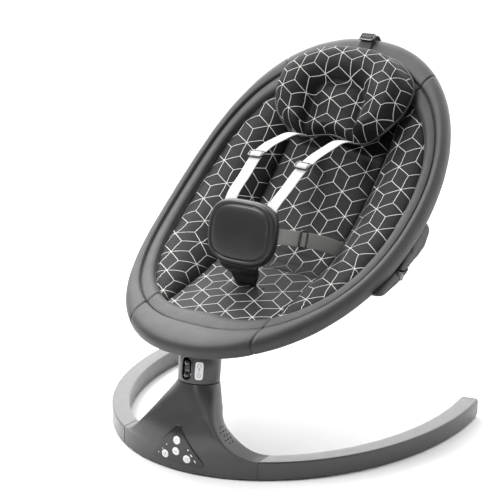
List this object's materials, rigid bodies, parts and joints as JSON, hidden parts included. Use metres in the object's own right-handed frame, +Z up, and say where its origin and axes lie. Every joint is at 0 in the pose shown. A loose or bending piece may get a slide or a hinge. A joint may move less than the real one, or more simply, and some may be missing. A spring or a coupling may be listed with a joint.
{
  "type": "baby swing",
  "caption": "Powered baby swing: reclining padded oval seat swaying on a post, on a low C-shaped floor base, with a five-strap harness.",
  "frame": {"origin": "on the floor, below the middle of the overall box", "axes": "+Z up, -Y towards the front (foot end and control panel), +X towards the child's left"},
  "size_m": [0.6086, 0.6117, 0.6121],
  "materials": {
    "shell_grey": "satin grey moulded shell",
    "dark_plastic": "satin near-black moulded plastic",
    "gloss_black": "polished black plastic",
    "key_white": "white key caps",
    "steel": "bare steel",
    "copper": "enamelled copper winding",
    "circuit": "green circuit board",
    "rubber": "matte black rubber",
    "rim_cloth": "dark grey fine-grained padded rim cover",
    "print_cloth": "black cloth printed with thin pale lines",
    "sling_cloth": "dark grey backing cloth",
    "leatherette": "dark grey smooth artificial leather",
    "white_webbing": "pale woven webbing",
    "grey_webbing": "mid grey woven webbing"
  },
  "bodies": {
    "base": {"pedestal_front_shell": "shell_grey", "pedestal_rear_shell": "shell_grey", "base_plate": "dark_plastic", "pedestal_foot": "rubber", "control_panel": "dark_plastic", "control_board": "circuit", "speaker": "dark_plastic", "dc_inlet": "gloss_black", "base_arm_left": "shell_grey", "arm_cap_left": "dark_plastic", "tip_foot_left": "rubber", "base_arm_right": "shell_grey", "arm_cap_right": "dark_plastic", "tip_foot_right": "rubber", "pivot_housing": "dark_plastic", "upper_bearing": "steel", "lower_bearing": "steel", "drive_coil": "copper"},
    "seat_carrier": {"swing_shaft": "steel", "magnet_lever": "dark_plastic", "collar_shell": "shell_grey", "swing_head": "dark_plastic", "front_tube": "steel", "front_rim_cover": "rim_cloth", "spine_arm": "dark_plastic", "cross_tube": "steel", "front_sling": "sling_cloth", "seat_pad": "print_cloth", "crotch_strap": "leatherette", "crotch_pad": "leatherette", "harness_buckle": "dark_plastic", "waist_strap_left": "grey_webbing", "waist_strap_right": "grey_webbing", "waist_adjuster_left": "dark_plastic", "waist_adjuster_right": "dark_plastic", "hinge_socket_left": "dark_plastic", "hinge_socket_right": "dark_plastic", "hinge_pin_left": "steel", "hinge_pin_right": "steel"},
    "backrest": {"hinge_knuckle_left": "dark_plastic", "hinge_knuckle_right": "dark_plastic", "rear_tube": "steel", "rear_rim_cover": "rim_cloth", "rear_sling": "sling_cloth", "back_pad": "print_cloth", "head_pillow": "print_cloth", "head_strap": "rim_cloth", "head_strap_slider": "dark_plastic", "shoulder_strap_left": "white_webbing", "shoulder_strap_right": "white_webbing", "shoulder_adjuster_left": "dark_plastic", "shoulder_adjuster_right": "dark_plastic"},
    "power_key": {"power_key": "key_white"},
    "level_key": {"level_key": "key_white"},
    "music_key": {"music_key": "key_white"},
    "timer_key": {"timer_key": "key_white"},
    "lock_slider": {"lock_slider": "gloss_black"},
    "release_button_left": {"release_button_left": "gloss_black"},
    "release_button_right": {"release_button_right": "gloss_black"},
    "buckle_button": {"buckle_button": "gloss_black"}
  },
  "joints": [
    {"name": "swing_yaw", "type": "hinge", "parent": "base", "child": "seat_carrier", "pos_m": [0, -0.2369, 0.1343], "axis": [0, 0.1219, 0.9925], "range_deg": [-12, 12]},
    {"name": "backrest_recline", "type": "hinge", "parent": "seat_carrier", "child": "backrest", "pos_m": [0, 0.0057, 0.3253], "axis": [-1, 0, 0], "range_deg": [0, 15]},
    {"name": "lock_slide", "type": "slide", "parent": "seat_carrier", "child": "lock_slider", "axis": [0, 0.1219, 0.9925], "range_m": [0, 0.004]},
    {"name": "power_key_press", "type": "slide", "parent": "base", "child": "power_key", "axis": [0, 1, 0], "range_m": [0, 0.0008], "stiffness_N_per_m": 600},
    {"name": "level_key_press", "type": "slide", "parent": "base", "child": "level_key", "axis": [0, 1, 0], "range_m": [0, 0.0008], "stiffness_N_per_m": 600},
    {"name": "music_key_press", "type": "slide", "parent": "base", "child": "music_key", "axis": [0, 1, 0], "range_m": [0, 0.0008], "stiffness_N_per_m": 600},
    {"name": "timer_key_press", "type": "slide", "parent": "base", "child": "timer_key", "axis": [0, 1, 0], "range_m": [0, 0.0008], "stiffness_N_per_m": 600},
    {"name": "release_left_press", "type": "slide", "parent": "seat_carrier", "child": "release_button_left", "axis": [-1, 0, 0], "range_m": [0, 0.003], "stiffness_N_per_m": 400},
    {"name": "release_right_press", "type": "slide", "parent": "seat_carrier", "child": "release_button_right", "axis": [1, 0, 0], "range_m": [0, 0.003], "stiffness_N_per_m": 400},
    {"name": "buckle_press", "type": "slide", "parent": "seat_carrier", "child": "buckle_button", "axis": [0, -0.9703, 0.2419], "range_m": [0, 0.002], "stiffness_N_per_m": 400}
  ]
}
